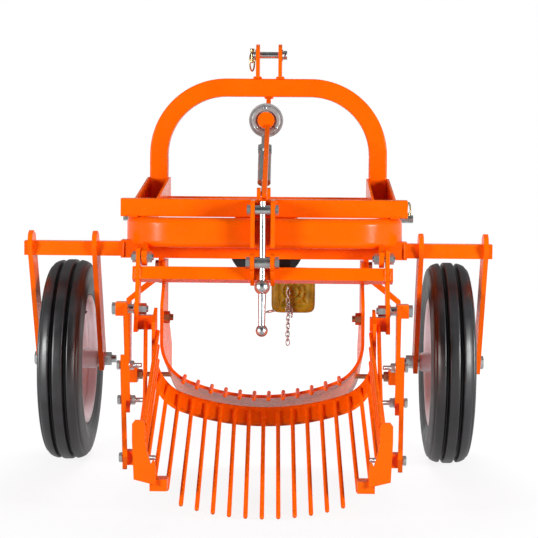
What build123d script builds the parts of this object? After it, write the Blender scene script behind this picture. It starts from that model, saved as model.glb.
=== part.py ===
from build123d import *
import math
import os

# Single-row potato digger for a small tractor: U share, shaken rod sieve, two gauge wheels.
# Machine axes: +X right, +Y forward, +Z up, all mm. Working origin: ground, below the wheel axles.

# Wheels
TYRE_R = 260.0
TYRE_HALF_W = 56.0
BEAD_R = 158.0
SEAT_HALF_W = 42.0
FLANGE_R = 167.0
FLANGE_T = 4.0
RIM_T = 4.0
DISC_R = 60.0
HUB_R = 25.0
HUB_HALF = 69.5
AXLE_R = 10.0
PIVOT_GAP = 0.1
WHEEL_X = 473.5
LEFT_PULL = 30.5

# Wheel beams and forks
BEAM = 36.0
BEAM_WALL = 4.0
BEAM_Y = -141.0
BEAM_Z = 559.0
BEAM_END = 97.5
BEAM_INNER = 244.0
FORK_T = 12.0
FORK_W = 60.0
FORK_GAP = 149.0
FORK_FOOT = 17.0
FORK_HEAD = 44.0
FORK_CHAMFER = 20.0
SOCKET_WALL = 4.0
SOCKET_GAP = 0.3
SOCKET = BEAM + 2 * (SOCKET_WALL + SOCKET_GAP)
SOCKET_END = 358.0

# Frame hoop: bent box section, closed end to the rear
HOOP_W = 40.0
HOOP_Z0 = 566.0
HOOP_Z1 = 641.0
HOOP_OUT = 349.0
HOOP_REAR = -230.0
HOOP_BEND = 115.0
HOOP_FRONT = 330.0
HOOP_ROUND = 17.0
TUBE_WALL = 4.0

# Toolbar across the hoop
BAR_HALF = 357.5
BAR_D = 50.0
BAR_H = 45.0
BAR_Y = -150.0
BAR_ROUND = 4.0

# Hitch mast
MAST_Y = 300.0
MAST_W = 50.0
MAST_D = 40.0
MAST_OUT = 330.0
MAST_TOP = 1007.0
MAST_BEND = 188.0
EAR_GAP = 52.0
EAR_T = 10.0
EAR_W = 60.0
EAR_TOP = 1103.0
TOP_PIN_Z = 1073.0
TOP_PIN_R = 9.65
LOWER_PIN_Z = 619.0
LOWER_PIN_R = 11.0
LOWER_PIN_L = 56.0
SEAT_T = 6.0
CHEEK_T = 6.0
CHEEK_FRONT_Z = 731.0
CHEEK_REAR_Z = 672.0
RAIL_H = 37.0
RAIL_D = 30.0

# Brace, cast ring and strut between mast and drive case
BRACE_T = 12.0
BRACE_W = 28.0
BRACE_TOP = (284.0, 957.0)
BRACE_FOOT = (-150.0, 686.0)
BOSS_R = 22.5
BOSS_L = 40.0
RING_Y = 165.0
RING_X = -4.0
RING_Z = 889.0
RING_R = 46.0
RING_T = 16.0
STRUT_X = -6.0
STRUT_TOP = (165.0, 851.0)
STRUT_FOOT = (45.0, 694.0)
STRUT_ROD_R = 10.0
STRUT_TUBE_R = 17.5
STRUT_NUT_R = 18.0
STRUT_EYE_R = 12.0
STRUT_PIN_R = 6.0

# Drive under the hoop
PTO_Z = 562.0
PTO_R = 17.45
CASE_HALF = 80.0
CASE_Y0 = -10.0
CASE_Y1 = 90.0
CASE_Z0 = 526.0
CASE_Z1 = 641.0
STUB_END = 175.0
STUB_FIT = 0.1
SHIELD_R = 104.0
SHIELD_Y0 = 92.0
SHIELD_Y1 = 195.0
SHIELD_T = 4.0
GUARD_X = 74.0
GUARD_Z = 441.0
GUARD_R = 57.0
GUARD_ROUND = 20.0
GUARD_T = 4.0
GUARD_Y0 = 0.0
GUARD_Y1 = 80.0

# Share: U blade, sides vertical, floor rising to the rear
SHARE_HALF = 250.5
SHARE_T = 8.0
SHARE_REAR = -250.0
SHARE_FRONT = 10.0
SHARE_RISE = 20.0
SHARE_Z = 201.0
SHARE_FLOOR_R = 480.0
SHARE_CORNER_R = 100.0
SHARE_TOP_Z = 532.0
SHARE_TOP_FRONT = -112.0
SHARE_RELIEF_Y = -204.0
SHARE_RELIEF_Z = 425.0
FINGER_R = 5.0
FINGER_L = 62.0
FINGER_PITCH = 35.4
FINGER_PAIRS = 6
SHARE_LUG_T = 12.0
HANGER_X = 334.0
HANGER_T = 10.0
HANGER_Z = 222.0
FOOT_H = 38.0
STAY_R = 6.0
STAY_X = 231.0
STAY_Z = 241.0
SHARE_BOLT = (-222.0, 395.0)
HANGER_Y = -140.0
HANGER_W = 36.0

# Rocker that carries the sieve, turning on P0
P0 = (-230.0, 544.0)
P1 = (-268.0, 420.0)
ROCKER_X0 = 300.0
ROCKER_X1 = 310.0
ROCKER_BAR = 32.0
ROCKER_BAR_AT = (-245.5, 502.5)
ROCKER_BAR_TURN = -20.0
ROCKER_BAR_HALF = 318.0
PIVOT_R = 8.0
LUG_X0 = 285.0
LUG_X1 = 297.0
LUG_R = 22.0

# Sieve: U band and parallel rods falling to the rear
SIEVE_FRONT = -259.0
SIEVE_END = -672.0
SIEVE_TIE = -640.0
SIEVE_FALL = 23.5
SIEVE_HALF = 262.0
SIEVE_Z = 180.5
SIEVE_FLOOR_R = 610.0
SIEVE_CORNER_R = 100.0
SIEVE_TOP = 422.0
BAND_T = 8.0
BAND_L = 70.0
TINE_R = 5.0
TINE_SINK = 1.5
TINE_PITCH = 36.0
TINE_PITCH_FRONT = 35.1
FRONT_SHIFT = 6.0
REAR_SHIFT = 13.0
TINE_PAIRS = 11
LONG_PAIRS = 5
TIED_PAIRS = 2
TINE_INSET = 24.0
BLOCK_Z0 = 371.0
BLOCK_Z1 = 405.0
SIDE_ROD = ((283.5, -270.0, 394.0), (266.0, -550.0, 242.0), (266.0, -672.0, 190.0))
SIDE_ROD_SHIFT = (0.0, 10.0, 13.0)
BRACKET_T = 8.0

# Sieve arms from P1 to the rear bracket bolt
ARM_END = (-664.0, 134.0)
ARM_T = 10.0
ARM_TAIL = 16.0
ARM_W = 40.0
ARM_X = 334.0
ARM_END_X = 291.0
UPPER_SHARE = 0.68
LOWER_SHARE = 0.375
BOSS_BLOCK = 33.0
BOSS_BLOCK_L = 26.0

# Screw jack
JACK_TOP = (-272.0, 663.0)
JACK_EYE = (-282.0, 535.5)
JACK_LUG_X0 = 19.5
JACK_LUG_X1 = 29.5
JACK_PIN_R = 6.0
SCREW_R = 8.0
SCREW_GAP = 1.0
UPPER_BARREL_R = 12.0
LOWER_BARREL_R = 15.0
BARREL_HALF = 18.5
SCREW_TOP_Z = 684.0
BALL_Z = 477.0
BALL_R = 19.0
KNOB_Z = 372.0
KNOB_R = 15.0
GRIP_R0 = 10.0
GRIP_R1 = 8.0

# Every node by name, each a list of solids
nodes = {}


def block(x0, x1, y0, y1, z0, z1):
    """A box between its six limits."""
    size = Box(abs(x1 - x0), abs(y1 - y0), abs(z1 - z0))
    return Pos((x0 + x1) / 2, (y0 + y1) / 2, (z0 + z1) / 2) * size


def side_plate(outline, x0, x1):
    """A plate with an outline of (y, z) points, from x0 to x1."""
    points = [(x0, y, z) for y, z in outline]
    face = make_face(Polyline(*points, close=True))
    return extrude(face, x1 - x0, dir=(1, 0, 0))


def cross_plate(outline, y0, y1):
    """A plate with an outline of (x, z) points, from y0 to y1."""
    points = [(x, y0, z) for x, z in outline]
    face = make_face(Polyline(*points, close=True))
    return extrude(face, y1 - y0, dir=(0, 1, 0))


def rod(start, end, radius):
    """A round bar between two points."""
    line = Vector(*end) - Vector(*start)
    return Solid.make_cylinder(radius, line.length, Plane(origin=start, z_dir=line))


def hexagon(start, end, across):
    """A hexagon head or nut between two points."""
    line = Vector(*end) - Vector(*start)
    plane = Plane(origin=start, z_dir=line)
    return extrude(plane * RegularPolygon(across / 2, 6, major_radius=False), line.length)


def along(start, end, share):
    """The point at a share of the way from start to end."""
    return tuple(a + (b - a) * share for a, b in zip(start, end))


def pair(solid):
    """A solid and its mirror image across the machine's centre plane."""
    return [solid, mirror(solid, about=Plane.YZ)]


def save(name, *items):
    """Keeps one node's solids."""
    nodes[name] = [solid for item in items for solid in item.solids()]


def u_wire(half, bottom, floor_r, corner_r, top, y):
    """The U line of the share or sieve: vertical sides, corners and a shallow floor."""
    lean = math.asin((half - corner_r) / (floor_r - corner_r))
    corner_z = bottom + floor_r - (floor_r - corner_r) * math.cos(lean)
    knee_x = floor_r * math.sin(lean)
    knee_z = bottom + floor_r - floor_r * math.cos(lean)
    mid = (math.pi / 2 + lean) / 2
    mid_x = half - corner_r + corner_r * math.sin(mid)
    mid_z = corner_z - corner_r * math.cos(mid)
    left = Line((-half, y, top), (-half, y, corner_z))
    left_turn = ThreePointArc((-half, y, corner_z), (-mid_x, y, mid_z), (-knee_x, y, knee_z))
    floor = ThreePointArc((-knee_x, y, knee_z), (0, y, bottom), (knee_x, y, knee_z))
    right_turn = ThreePointArc((knee_x, y, knee_z), (mid_x, y, mid_z), (half, y, corner_z))
    right = Line((half, y, corner_z), (half, y, top))
    return [left, left_turn, floor, right_turn, right]


def u_strip(half, bottom, floor_r, corner_r, top, thick, y):
    """The face between a U line and the same line moved outwards."""
    inner = u_wire(half, bottom, floor_r, corner_r, top, y)
    outer = u_wire(half + thick, bottom - thick, floor_r + thick, corner_r + thick, top, y)
    left_cap = Line((-half, y, top), (-half - thick, y, top))
    right_cap = Line((half, y, top), (half + thick, y, top))
    return make_face(Curve() + [*inner, *outer, left_cap, right_cap])


def u_point(half, bottom, floor_r, corner_r, length):
    """The (x, z) at a length along half of the U line, from its lowest point."""
    lean = math.asin((half - corner_r) / (floor_r - corner_r))
    corner_z = bottom + floor_r - (floor_r - corner_r) * math.cos(lean)
    floor_l = floor_r * lean
    turn_l = corner_r * (math.pi / 2 - lean)
    if length <= floor_l:
        angle = length / floor_r
        return floor_r * math.sin(angle), bottom + floor_r - floor_r * math.cos(angle)
    if length <= floor_l + turn_l:
        angle = lean + (length - floor_l) / corner_r
        return half - corner_r + corner_r * math.sin(angle), corner_z - corner_r * math.cos(angle)
    return half, corner_z + length - floor_l - turn_l


# Cross tube: its open ends are the sockets of the wheel beams
half_socket = SOCKET / 2
half_bore = half_socket - SOCKET_WALL
cross_skin = block(
    -SOCKET_END, SOCKET_END,
    BEAM_Y - half_socket, BEAM_Y + half_socket,
    BEAM_Z - half_socket, BEAM_Z + half_socket,
)
cross_bore = block(
    -SOCKET_END, SOCKET_END,
    BEAM_Y - half_bore, BEAM_Y + half_bore,
    BEAM_Z - half_bore, BEAM_Z + half_bore,
)
save("cross_tube", cross_skin - cross_bore)

# Frame hoop: box tube bent in plan, its legs running forward and notched over the cross tube
hoop_mid = HOOP_OUT - HOOP_W / 2
hoop_z = (HOOP_Z0 + HOOP_Z1) / 2
rear_mid = HOOP_REAR + HOOP_W / 2
bend_y = rear_mid + HOOP_BEND
flat = hoop_mid - HOOP_BEND
turn = HOOP_BEND * math.sqrt(0.5)
hoop_path = Curve() + [
    Line((-hoop_mid, HOOP_FRONT, hoop_z), (-hoop_mid, bend_y, hoop_z)),
    ThreePointArc(
        (-hoop_mid, bend_y, hoop_z), (-flat - turn, bend_y - turn, hoop_z), (-flat, rear_mid, hoop_z)
    ),
    Line((-flat, rear_mid, hoop_z), (flat, rear_mid, hoop_z)),
    ThreePointArc(
        (flat, rear_mid, hoop_z), (flat + turn, bend_y - turn, hoop_z), (hoop_mid, bend_y, hoop_z)
    ),
    Line((hoop_mid, bend_y, hoop_z), (hoop_mid, HOOP_FRONT, hoop_z)),
]
hoop_plane = Plane(origin=(-hoop_mid, HOOP_FRONT, hoop_z), x_dir=(1, 0, 0), z_dir=(0, -1, 0))
hoop_height = HOOP_Z1 - HOOP_Z0
hoop_skin = hoop_plane * RectangleRounded(HOOP_W, hoop_height, HOOP_ROUND)
hoop_core = hoop_plane * RectangleRounded(
    HOOP_W - 2 * TUBE_WALL, hoop_height - 2 * TUBE_WALL, HOOP_ROUND - TUBE_WALL
)
hoop_solid = sweep(hoop_skin, path=hoop_path)
hoop = hoop_solid - sweep(hoop_core, path=hoop_path) - cross_skin
save("hoop", hoop)

# Toolbar: box tube welded across the top of the hoop
bar_z0 = HOOP_Z1
bar_z1 = HOOP_Z1 + BAR_H
bar_rear = BAR_Y - BAR_D / 2
bar_front = BAR_Y + BAR_D / 2
toolbar_plane = Plane(origin=(-BAR_HALF, BAR_Y, (bar_z0 + bar_z1) / 2), x_dir=(0, 1, 0), z_dir=(1, 0, 0))
toolbar_face = toolbar_plane * (
    RectangleRounded(BAR_D, BAR_H, BAR_ROUND) - Rectangle(BAR_D - 2 * TUBE_WALL, BAR_H - 2 * TUBE_WALL)
)
save("toolbar", extrude(toolbar_face, 2 * BAR_HALF))

# Wheel forks: beam, two leaning flats, open tube with a plug at its end
lean_y = BEAM_Y
lean_z = BEAM_Z - TYRE_R
lean = math.hypot(lean_y, lean_z)
up_y = lean_y / lean
up_z = lean_z / lean


def fork_point(height, across):
    """A point of the leaning fork flat: height from the axle, across its width."""
    return up_y * height + up_z * across, TYRE_R + up_z * height - up_y * across


half_w = FORK_W / 2
head = lean + FORK_HEAD
fork_outline = [
    fork_point(-FORK_FOOT, -half_w),
    fork_point(-FORK_FOOT, half_w),
    fork_point(head - FORK_CHAMFER, half_w),
    fork_point(head, half_w - FORK_CHAMFER),
    fork_point(head, FORK_CHAMFER - half_w),
    fork_point(head - FORK_CHAMFER, -half_w),
]
half_beam = BEAM / 2
half_hollow = half_beam - BEAM_WALL
inner_flat = FORK_GAP / 2 + FORK_T
axle_reach = inner_flat + 10
plugs = []
for side, pull in (("left", LEFT_PULL), ("right", 0.0)):
    way = -1 if side == "left" else 1
    wheel_x = way * (WHEEL_X + pull)
    beam_end = wheel_x + way * BEAM_END
    beam_in = way * (BEAM_INNER + pull)
    beam_low = BEAM_Z - half_beam
    beam_high = BEAM_Z + half_beam
    fork = block(beam_in, beam_end, BEAM_Y - half_beam, BEAM_Y + half_beam, beam_low, beam_high)
    for inner in (FORK_GAP / 2, -inner_flat):
        fork += side_plate(fork_outline, wheel_x + inner, wheel_x + inner + FORK_T)
    fork -= block(
        beam_in, beam_end,
        BEAM_Y - half_hollow, BEAM_Y + half_hollow,
        BEAM_Z - half_hollow, BEAM_Z + half_hollow,
    )
    fork -= rod((wheel_x - axle_reach, 0, TYRE_R), (wheel_x + axle_reach, 0, TYRE_R), AXLE_R)
    save(f"fork_{side}", fork)
    plugs.append(
        block(
            beam_end - way * 5, beam_end,
            BEAM_Y - half_hollow, BEAM_Y + half_hollow,
            BEAM_Z - half_hollow, BEAM_Z + half_hollow,
        )
    )
    # Axle bolt: head outside, nut and thread on the inner side
    outer_x = wheel_x + way * inner_flat
    inner_x = wheel_x - way * inner_flat
    bolt = rod((inner_x - way * 30, 0, TYRE_R), (outer_x, 0, TYRE_R), AXLE_R)
    bolt += hexagon((outer_x, 0, TYRE_R), (outer_x + way * 10, 0, TYRE_R), 30)
    bolt += hexagon((inner_x - way * 18, 0, TYRE_R), (inner_x, 0, TYRE_R), 30)
    save(f"axle_bolt_{side}", bolt)
    # Tyre with three ribs and two grooves
    half_profile = [
        (0, BEAD_R), (SEAT_HALF_W, BEAD_R), (SEAT_HALF_W, FLANGE_R + 1), (50, 182), (TYRE_HALF_W, 206),
        (54, 228), (48, 246), (43, 252), (24, TYRE_R - 4), (21, 244), (14, 244), (12, TYRE_R),
    ]
    outline = half_profile + [(-x, r) for x, r in reversed(half_profile[1:])]
    tyre_face = make_face(Polyline(*[(wheel_x + x, 0, TYRE_R + r) for x, r in outline], close=True))
    wheel_axis = Axis((wheel_x, 0, TYRE_R), (1, 0, 0))
    save(f"tyre_{side}", revolve(tyre_face, wheel_axis, 360))
    # Rim: bead seat with two flanges, disc and long hub tube
    flange_x = SEAT_HALF_W + FLANGE_T
    rim_parts = [
        [(-SEAT_HALF_W, BEAD_R - RIM_T), (SEAT_HALF_W, BEAD_R - RIM_T), (SEAT_HALF_W, BEAD_R),
         (-SEAT_HALF_W, BEAD_R)],
        [(SEAT_HALF_W, BEAD_R - RIM_T), (flange_x, BEAD_R - RIM_T), (flange_x, FLANGE_R),
         (SEAT_HALF_W, FLANGE_R)],
        [(-flange_x, BEAD_R - RIM_T), (-SEAT_HALF_W, BEAD_R - RIM_T), (-SEAT_HALF_W, FLANGE_R),
         (-flange_x, FLANGE_R)],
        [(-RIM_T, HUB_R), (RIM_T, HUB_R), (RIM_T, BEAD_R - RIM_T), (-RIM_T, BEAD_R - RIM_T)],
        [(-HUB_HALF, AXLE_R + PIVOT_GAP), (HUB_HALF, AXLE_R + PIVOT_GAP), (HUB_HALF, HUB_R),
         (-HUB_HALF, HUB_R)],
    ]
    rim = None
    for shape in rim_parts:
        face = make_face(Polyline(*[(wheel_x + x, 0, TYRE_R + r) for x, r in shape], close=True))
        ring = revolve(face, wheel_axis, 360)
        rim = ring if rim is None else rim + ring
    save(f"rim_{side}", rim)
for way in (-1, 1):
    plugs.append(
        block(
            way * (BAR_HALF - 5), way * BAR_HALF,
            bar_rear + TUBE_WALL, bar_front - TUBE_WALL,
            bar_z0 + TUBE_WALL, bar_z1 - TUBE_WALL,
        )
    )
save("tube_plugs", *plugs)

# Hitch mast: box tube bent over two corners, standing on seats on the hoop's legs
mast_mid = MAST_OUT - MAST_W / 2
mast_top = MAST_TOP - MAST_W / 2
mast_foot = HOOP_Z1 + SEAT_T
knee = mast_top - MAST_BEND
crown = mast_mid - MAST_BEND
half_turn = MAST_BEND * math.sqrt(0.5)
mast_path = Curve() + [
    Line((-mast_mid, MAST_Y, mast_foot), (-mast_mid, MAST_Y, knee)),
    ThreePointArc(
        (-mast_mid, MAST_Y, knee),
        (-crown - half_turn, MAST_Y, knee + half_turn),
        (-crown, MAST_Y, mast_top),
    ),
    Line((-crown, MAST_Y, mast_top), (crown, MAST_Y, mast_top)),
    ThreePointArc(
        (crown, MAST_Y, mast_top),
        (crown + half_turn, MAST_Y, knee + half_turn),
        (mast_mid, MAST_Y, knee),
    ),
    Line((mast_mid, MAST_Y, knee), (mast_mid, MAST_Y, mast_foot)),
]
mast_plane = Plane(origin=(-mast_mid, MAST_Y, mast_foot), x_dir=(1, 0, 0), z_dir=(0, 0, 1))
mast_skin = mast_plane * RectangleRounded(MAST_W, MAST_D, BAR_ROUND)
mast_core = mast_plane * Rectangle(MAST_W - 2 * TUBE_WALL, MAST_D - 2 * TUBE_WALL)
save("mast", sweep(mast_skin, path=mast_path) - sweep(mast_core, path=mast_path))

# Mast seats: base plate with two cheeks on each leg
mast_in = MAST_OUT - MAST_W
mast_front = MAST_Y + MAST_D / 2
cheek_outline = [
    (bar_front, mast_foot),
    (mast_front, mast_foot),
    (mast_front, CHEEK_FRONT_Z),
    (MAST_Y - MAST_D / 2, CHEEK_FRONT_Z),
    (bar_front, CHEEK_REAR_Z),
]
seat = block(mast_in - CHEEK_T, MAST_OUT + CHEEK_T, bar_front, mast_front, HOOP_Z1, mast_foot)
seat += side_plate(cheek_outline, MAST_OUT, MAST_OUT + CHEEK_T)
seat += side_plate(cheek_outline, mast_in - CHEEK_T, mast_in)
save("mast_seats", *pair(seat))

# Front rail between the seats
rail_half = mast_in - CHEEK_T
save("front_rail", block(-rail_half, rail_half, MAST_Y - RAIL_D / 2, MAST_Y + RAIL_D / 2,
                         HOOP_Z1, HOOP_Z1 + RAIL_H))

# Top link ears
ear_r = EAR_W / 2
ear = block(EAR_GAP / 2, EAR_GAP / 2 + EAR_T, MAST_Y - ear_r, MAST_Y + ear_r, MAST_TOP, TOP_PIN_Z)
ear += rod((EAR_GAP / 2, MAST_Y, TOP_PIN_Z), (EAR_GAP / 2 + EAR_T, MAST_Y, TOP_PIN_Z), ear_r)
ear -= rod((0, MAST_Y, TOP_PIN_Z), (EAR_GAP, MAST_Y, TOP_PIN_Z), TOP_PIN_R)
save("top_link_ears", *pair(ear))

# Lower hitch pins, welded to the outside of the hoop's legs
lower_pin = rod(
    (HOOP_OUT, MAST_Y, LOWER_PIN_Z), (HOOP_OUT + LOWER_PIN_L, MAST_Y, LOWER_PIN_Z), LOWER_PIN_R
)
save("lower_hitch_pins", *pair(lower_pin))

# Brace from under the mast's crown to the toolbar, with a short boss under the cast ring
brace_run = math.hypot(BRACE_TOP[0] - BRACE_FOOT[0], BRACE_TOP[1] - BRACE_FOOT[1])
brace_dy = (BRACE_TOP[0] - BRACE_FOOT[0]) / brace_run
brace_dz = (BRACE_TOP[1] - BRACE_FOOT[1]) / brace_run
edge_y = brace_dz * BRACE_W / 2
edge_z = brace_dy * BRACE_W / 2
brace_outline = [
    (BRACE_FOOT[0] + edge_y, BRACE_FOOT[1] - edge_z),
    (BRACE_TOP[0] + edge_y, BRACE_TOP[1] - edge_z),
    (BRACE_TOP[0] + 2 * edge_y, mast_top - MAST_W / 2),
    (BRACE_TOP[0] - edge_y, mast_top - MAST_W / 2),
    (BRACE_FOOT[0] - edge_y, BRACE_FOOT[1] + edge_z),
]
brace = side_plate(brace_outline, -BRACE_T / 2, BRACE_T / 2)
brace += rod(
    (RING_X, RING_Y - BOSS_L / 2, RING_Z), (RING_X, RING_Y + BOSS_L / 2, RING_Z), BOSS_R
)
brace -= block(-BRACE_T, BRACE_T, bar_rear - BRACE_W, bar_front, bar_z0, bar_z1)
save("mast_brace", brace)
ring_face = Plane(origin=(RING_X, RING_Y - RING_T / 2, RING_Z), x_dir=(1, 0, 0), z_dir=(0, 1, 0))
ring = extrude(ring_face * (Circle(RING_R) - Circle(BOSS_R)), RING_T)
save("cast_ring", ring - brace)

# Strut under the ring: rod, nut, tube and a foot eye on the drive case's lug
strut_top = (STRUT_X, *STRUT_TOP)
strut_foot = (STRUT_X, *STRUT_FOOT)
strut = rod(strut_top, along(strut_top, strut_foot, 0.5), STRUT_ROD_R)
strut += hexagon(
    along(strut_top, strut_foot, 0.22), along(strut_top, strut_foot, 0.30), 2 * STRUT_NUT_R
)
strut += rod(along(strut_top, strut_foot, 0.34), along(strut_top, strut_foot, 0.82), STRUT_TUBE_R)
strut += rod(along(strut_top, strut_foot, 0.81), strut_foot, 7)
strut += rod((STRUT_X - 6, *STRUT_FOOT), (STRUT_X + 6, *STRUT_FOOT), STRUT_EYE_R)
strut -= rod((STRUT_X - 20, *STRUT_FOOT), (STRUT_X + 20, *STRUT_FOOT), STRUT_PIN_R)
strut -= ring
strut -= brace
save("ring_strut", strut)

# Drive case with the strut's clevis and two straps to the cross tube
case = block(-CASE_HALF, CASE_HALF, CASE_Y0, CASE_Y1, CASE_Z0, CASE_Z1)
case = fillet(case.edges().filter_by(Axis.Y), 12)
for clevis_x in (STRUT_X - 18, STRUT_X + 8):
    case += block(clevis_x, clevis_x + 10, STRUT_FOOT[0] - 16, STRUT_FOOT[0] + 16, CASE_Z1 - 1,
                  STRUT_FOOT[1])
    case += rod((clevis_x, *STRUT_FOOT), (clevis_x + 10, *STRUT_FOOT), 16)
case += rod((STRUT_X - 18, *STRUT_FOOT), (STRUT_X + 18, *STRUT_FOOT), STRUT_PIN_R)
cross_front = BEAM_Y + half_socket
for strap_x in (-CASE_HALF, CASE_HALF - 12):
    case += block(strap_x, strap_x + 12, cross_front, CASE_Y0 + 10, CASE_Z0 + 10, BEAM_Z + 20)
case -= rod((0, CASE_Y0 + 15, PTO_Z), (0, CASE_Y1 + 5, PTO_Z), PTO_R + 8 + STUB_FIT)
save("drive_case", case)

# Drive input: splined stub, journal and eccentric weight inside the case
stub = rod((0, CASE_Y0 + 18, PTO_Z), (0, CASE_Y1 - 5, PTO_Z), PTO_R + 8)
stub += rod((0, CASE_Y1 - 5, PTO_Z), (0, STUB_END, PTO_Z), PTO_R)
save("input_shaft", stub)

# Input shield: open bell round the stub, flanged to the case
shield_axis = Axis((0, 0, PTO_Z), (0, 1, 0))
shield_outline = [
    (PTO_R + 14, CASE_Y1), (SHIELD_R - 30, CASE_Y1), (SHIELD_R, SHIELD_Y0 + 34), (SHIELD_R, SHIELD_Y1),
    (SHIELD_R - SHIELD_T, SHIELD_Y1), (SHIELD_R - SHIELD_T, SHIELD_Y0 + 36),
    (SHIELD_R - 32, CASE_Y1 + SHIELD_T), (PTO_R + 14, CASE_Y1 + SHIELD_T),
]
shield_face = make_face(Polyline(*[(0, y, PTO_Z + r) for r, y in shield_outline], close=True))
save("input_shield", revolve(shield_face, shield_axis, 360))

# Parked shaft guard on its own strap
guard_plane = Plane(origin=(GUARD_X, GUARD_Y0, GUARD_Z), x_dir=(1, 0, 0), z_dir=(0, -1, 0))
guard_size = 2 * GUARD_R
guard_hollow = guard_size - 2 * GUARD_T
guard_skin = guard_plane * RectangleRounded(guard_size, guard_size, GUARD_ROUND)
guard_bore = guard_plane * RectangleRounded(guard_hollow, guard_hollow, GUARD_ROUND - GUARD_T)
guard = extrude(guard_skin, GUARD_Y1 - GUARD_Y0, dir=(0, 1, 0))
guard -= Pos(0, GUARD_T, 0) * extrude(guard_bore, GUARD_Y1 - GUARD_Y0, dir=(0, 1, 0))
strap_y = (GUARD_Y0 + GUARD_Y1) / 2
strap = block(CASE_HALF - 44, CASE_HALF - 14, strap_y, strap_y + 6, GUARD_Z + GUARD_R, CASE_Z0)
save("shaft_guard", guard)
save("guard_strap", strap)

# Share: U blade with fingers on its rear edge
fall = math.radians(SHARE_RISE)
share_run = SHARE_FRONT - SHARE_REAR
share_dir = (0, -math.cos(fall), math.sin(fall))
share_drop = share_run * math.tan(fall)
share_face = u_strip(
    SHARE_HALF - SHARE_T, SHARE_Z + SHARE_T - share_drop, SHARE_FLOOR_R, SHARE_CORNER_R,
    SHARE_TOP_Z, SHARE_T, SHARE_FRONT,
)
share = extrude(share_face, share_run / math.cos(fall), dir=share_dir)
share -= block(-SHARE_HALF, SHARE_HALF, SHARE_REAR, SHARE_FRONT, SHARE_TOP_Z, 2 * SHARE_TOP_Z)
shoulder = [
    (SHARE_TOP_FRONT, SHARE_TOP_Z),
    (SHARE_TOP_FRONT, 400),
    (SHARE_FRONT + 1, 300),
    (SHARE_FRONT + 1, SHARE_TOP_Z),
]
share -= side_plate(shoulder, -2 * SHARE_HALF, 2 * SHARE_HALF)
relief = [
    (SHARE_REAR - 1, SHARE_RELIEF_Z), (SHARE_RELIEF_Y, SHARE_RELIEF_Z + 45),
    (SHARE_RELIEF_Y, SHARE_TOP_Z + 1), (SHARE_REAR - 1, SHARE_TOP_Z + 1),
]
share -= side_plate(relief, -2 * SHARE_HALF, 2 * SHARE_HALF)
fingers = []
for i in range(FINGER_PAIRS):
    reach = (i + 0.5) * FINGER_PITCH
    fx, fz = u_point(SHARE_HALF - SHARE_T, SHARE_Z + SHARE_T, SHARE_FLOOR_R, SHARE_CORNER_R, reach)
    root = (fx, SHARE_REAR + 14, fz + FINGER_R - 2)
    tip = (fx, SHARE_REAR + 14 - FINGER_L, fz + FINGER_R - 8)
    fingers += pair(rod(root, tip, FINGER_R) + Pos(*tip) * Sphere(FINGER_R))
for finger in fingers:
    share -= finger
save("share", share)
save("share_fingers", *fingers)

# Share hangers: angle lugs under the cross tube and knees to the outside
cross_low = BEAM_Z - half_socket
lug = block(SHARE_HALF, SHARE_HALF + SHARE_LUG_T, -166, SHARE_TOP_FRONT - 2, cross_low - 62, cross_low)
knee_outline = [
    (SHARE_HALF + SHARE_LUG_T, 502), (SHARE_HALF + SHARE_LUG_T, 482), (HANGER_X, 426),
    (HANGER_X, HANGER_Z), (HANGER_X + HANGER_T, HANGER_Z), (HANGER_X + HANGER_T, 434),
]
lug += cross_plate(knee_outline, HANGER_Y - HANGER_W / 2, HANGER_Y + HANGER_W / 2)
lug += block(HANGER_X - 18, HANGER_X, HANGER_Y - HANGER_W / 2, HANGER_Y + HANGER_W / 2,
             HANGER_Z, HANGER_Z + FOOT_H)
stay = rod((STAY_X, HANGER_Y, STAY_Z), (HANGER_X - 1, HANGER_Y, STAY_Z), STAY_R)
lug -= stay
stay += hexagon((HANGER_X - 30, HANGER_Y, STAY_Z), (HANGER_X - 18, HANGER_Y, STAY_Z), 22)
stay -= share
nut_x = SHARE_HALF + SHARE_LUG_T
share_nut = hexagon((nut_x, HANGER_Y, 516.3), (nut_x + 10, HANGER_Y, 516.3), 24)
save("share_hangers", *pair(lug))
bolt_x = SHARE_HALF - SHARE_T
share_bolt = rod((bolt_x - 22, *SHARE_BOLT), (bolt_x, *SHARE_BOLT), 8)
share_bolt += hexagon((bolt_x - 14, *SHARE_BOLT), (bolt_x, *SHARE_BOLT), 26)
save("share_bolts", *pair(share_bolt), *pair(share_nut), *pair(stay))

# Pivot lugs under the hoop's bends, with the rocker's pivot bolts
lug_front = BEAM_Y - half_socket
lug_rear = P0[0] - LUG_R + 2
lug_outline = [
    (lug_front, HOOP_Z0 + 12), (lug_front, HOOP_Z0 - 22), (P0[0] + 8, P0[1] - LUG_R + 4),
    (lug_rear, P0[1]), (lug_rear, HOOP_Z0 - 6), (P0[0] + 24, HOOP_Z0 + 12),
]
pivot_lug = side_plate(lug_outline, LUG_X0, LUG_X1)
pivot_lug += rod((LUG_X0, *P0), (LUG_X1, *P0), LUG_R)
pivot_lug -= rod((LUG_X0 - 1, *P0), (LUG_X1 + 1, *P0), PIVOT_R)
pivot_lug -= hoop_solid
save("pivot_lugs", *pair(pivot_lug))
pivot_bolt = rod((LUG_X0 - 16, *P0), (ROCKER_X1 + 14, *P0), PIVOT_R)
pivot_bolt += hexagon((LUG_X0 - 12, *P0), (LUG_X0, *P0), 24)
pivot_bolt += hexagon((ROCKER_X1 + 1, *P0), (ROCKER_X1 + 11, *P0), 24)
save("pivot_bolts", *pair(pivot_bolt))

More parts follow.
